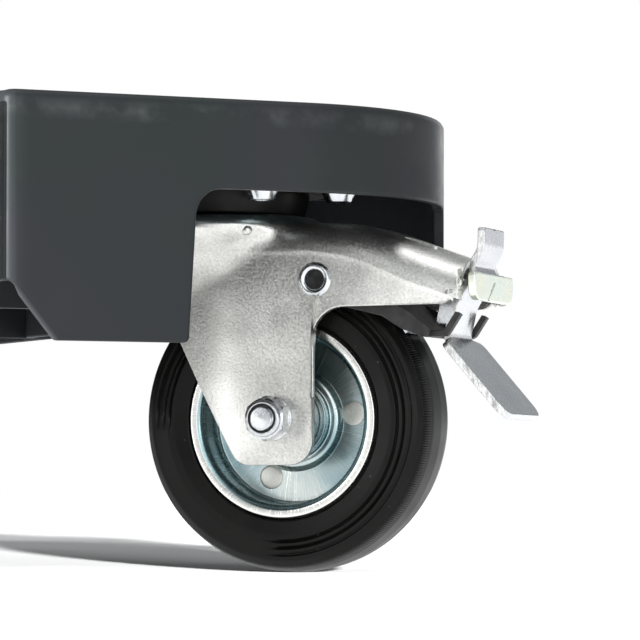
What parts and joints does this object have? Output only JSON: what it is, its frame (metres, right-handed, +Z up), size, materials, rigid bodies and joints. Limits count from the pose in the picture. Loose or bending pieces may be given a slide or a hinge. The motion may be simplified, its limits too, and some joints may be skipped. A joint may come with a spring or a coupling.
{
  "type": "wheel trolley",
  "caption": "Low square wheel trolley: moulded deck with corner housings on swivel casters, two with foot-pedal brakes.",
  "frame": {"origin": "on the floor, under the middle of the whole trolley's box, pedals included", "axes": "+Z up, +X towards the braked end, +Y to the left of +X"},
  "size_m": [0.6116, 0.6232, 0.1493],
  "materials": {
    "deck_plastic": "moulded slate grey plastic, fine grain, scuffed along the top edge",
    "screw_zinc": "bright zinc plating",
    "plate_zinc": "zinc plating",
    "fork_zinc": "zinc-plated pressed sheet with a fine mottled grain",
    "ring_black": "dark brown-black moulded ring",
    "pin_steel": "turned steel",
    "ball_steel": "polished bearing balls",
    "axle_zinc": "bright zinc-plated bolt and nut",
    "rim_zinc": "blue zinc-plated pressed rim, radially brushed",
    "rivet_steel": "satin rivet heads",
    "tyre_rubber": "black solid rubber with three moulded rings",
    "lever_zinc": "zinc-plated lever, faint rainbow tint, bright sheared edges",
    "spring_black": "oil-blackened spring steel",
    "shoe_zinc": "zinc-plated brake shoe",
    "hub_steel": "plain steel tube"
  },
  "bodies": {
    "deck": {"deck": "deck_plastic", "caster_screws": "screw_zinc", "front_right_plate": "plate_zinc", "front_right_dust_ring": "ring_black", "front_right_king_pin": "pin_steel", "front_right_bearing_balls": "ball_steel", "rear_right_plate": "plate_zinc", "rear_right_dust_ring": "ring_black", "rear_right_king_pin": "pin_steel", "rear_right_bearing_balls": "ball_steel", "front_left_plate": "plate_zinc", "front_left_dust_ring": "ring_black", "front_left_king_pin": "pin_steel", "front_left_bearing_balls": "ball_steel", "rear_left_plate": "plate_zinc", "rear_left_dust_ring": "ring_black", "rear_left_king_pin": "pin_steel", "rear_left_bearing_balls": "ball_steel"},
    "front_right_swivel": {"front_right_fork": "fork_zinc", "front_right_axle_bolt": "axle_zinc", "front_right_axle_spacer": "pin_steel", "front_right_brake_pins": "screw_zinc"},
    "front_right_wheel": {"front_right_hub": "hub_steel", "front_right_rim_outer": "rim_zinc", "front_right_rim_inner": "rim_zinc", "front_right_rim_rivets": "rivet_steel", "front_right_tyre": "tyre_rubber"},
    "front_right_lever": {"front_right_brake_lever": "lever_zinc"},
    "front_right_brake": {"front_right_brake_spring": "spring_black", "front_right_brake_shoe": "shoe_zinc"},
    "rear_right_swivel": {"rear_right_fork": "fork_zinc", "rear_right_axle_bolt": "axle_zinc", "rear_right_axle_spacer": "pin_steel", "rear_right_brake_pins": "screw_zinc"},
    "rear_right_wheel": {"rear_right_hub": "hub_steel", "rear_right_rim_outer": "rim_zinc", "rear_right_rim_inner": "rim_zinc", "rear_right_rim_rivets": "rivet_steel", "rear_right_tyre": "tyre_rubber"},
    "rear_right_lever": {"rear_right_brake_lever": "lever_zinc"},
    "rear_right_brake": {"rear_right_brake_spring": "spring_black", "rear_right_brake_shoe": "shoe_zinc"},
    "front_left_swivel": {"front_left_fork": "fork_zinc", "front_left_axle_bolt": "axle_zinc", "front_left_axle_spacer": "pin_steel"},
    "front_left_wheel": {"front_left_hub": "hub_steel", "front_left_rim_outer": "rim_zinc", "front_left_rim_inner": "rim_zinc", "front_left_rim_rivets": "rivet_steel", "front_left_tyre": "tyre_rubber"},
    "rear_left_swivel": {"rear_left_fork": "fork_zinc", "rear_left_axle_bolt": "axle_zinc", "rear_left_axle_spacer": "pin_steel"},
    "rear_left_wheel": {"rear_left_hub": "hub_steel", "rear_left_rim_outer": "rim_zinc", "rear_left_rim_inner": "rim_zinc", "rear_left_rim_rivets": "rivet_steel", "rear_left_tyre": "tyre_rubber"}
  },
  "joints": [
    {"name": "front_right_swivel", "type": "hinge", "parent": "deck", "child": "front_right_swivel", "pos_m": [0.21722, -0.223, 0], "axis": [0, 0, 1], "range_deg": [-52, 0]},
    {"name": "front_right_wheel_spin", "type": "hinge", "parent": "front_right_swivel", "child": "front_right_wheel", "pos_m": [0.23843, -0.24421, 0.05], "axis": [0.7071, 0.7071, 0], "continuous": true},
    {"name": "front_right_lever_tilt", "type": "hinge", "parent": "front_right_swivel", "child": "front_right_lever", "pos_m": [0.27881, -0.28459, 0.0926], "axis": [-0.7071, -0.7071, 0], "range_deg": [0, 14]},
    {"name": "front_right_brake_lift", "type": "hinge", "parent": "front_right_swivel", "child": "front_right_brake", "pos_m": [0.24875, -0.25454, 0.095], "axis": [-0.7071, -0.7071, 0], "range_deg": [0, 2.1]},
    {"name": "rear_right_swivel", "type": "hinge", "parent": "deck", "child": "rear_right_swivel", "pos_m": [0.21722, 0.223, 0], "axis": [0, 0, 1], "range_deg": [0, 52]},
    {"name": "rear_right_wheel_spin", "type": "hinge", "parent": "rear_right_swivel", "child": "rear_right_wheel", "pos_m": [0.23843, 0.24421, 0.05], "axis": [-0.7071, 0.7071, 0], "continuous": true},
    {"name": "rear_right_lever_tilt", "type": "hinge", "parent": "rear_right_swivel", "child": "rear_right_lever", "pos_m": [0.27881, 0.28459, 0.0926], "axis": [0.7071, -0.7071, 0], "range_deg": [0, 14]},
    {"name": "rear_right_brake_lift", "type": "hinge", "parent": "rear_right_swivel", "child": "rear_right_brake", "pos_m": [0.24875, 0.25454, 0.095], "axis": [0.7071, -0.7071, 0], "range_deg": [0, 2.1]},
    {"name": "front_left_swivel", "type": "hinge", "parent": "deck", "child": "front_left_swivel", "pos_m": [-0.22878, -0.223, 0], "axis": [0, 0, 1], "continuous": true},
    {"name": "front_left_wheel_spin", "type": "hinge", "parent": "front_left_swivel", "child": "front_left_wheel", "pos_m": [-0.25, -0.24421, 0.05], "axis": [0.7071, -0.7071, 0], "continuous": true},
    {"name": "rear_left_swivel", "type": "hinge", "parent": "deck", "child": "rear_left_swivel", "pos_m": [-0.22878, 0.223, 0], "axis": [0, 0, 1], "continuous": true},
    {"name": "rear_left_wheel_spin", "type": "hinge", "parent": "rear_left_swivel", "child": "rear_left_wheel", "pos_m": [-0.25, 0.24421, 0.05], "axis": [-0.7071, -0.7071, 0], "continuous": true}
  ],
  "couplings": [
    {"joint": "front_right_brake_lift", "follows": "front_right_lever_tilt", "ratio": 0.15},
    {"joint": "rear_right_brake_lift", "follows": "rear_right_lever_tilt", "ratio": 0.15}
  ]
}
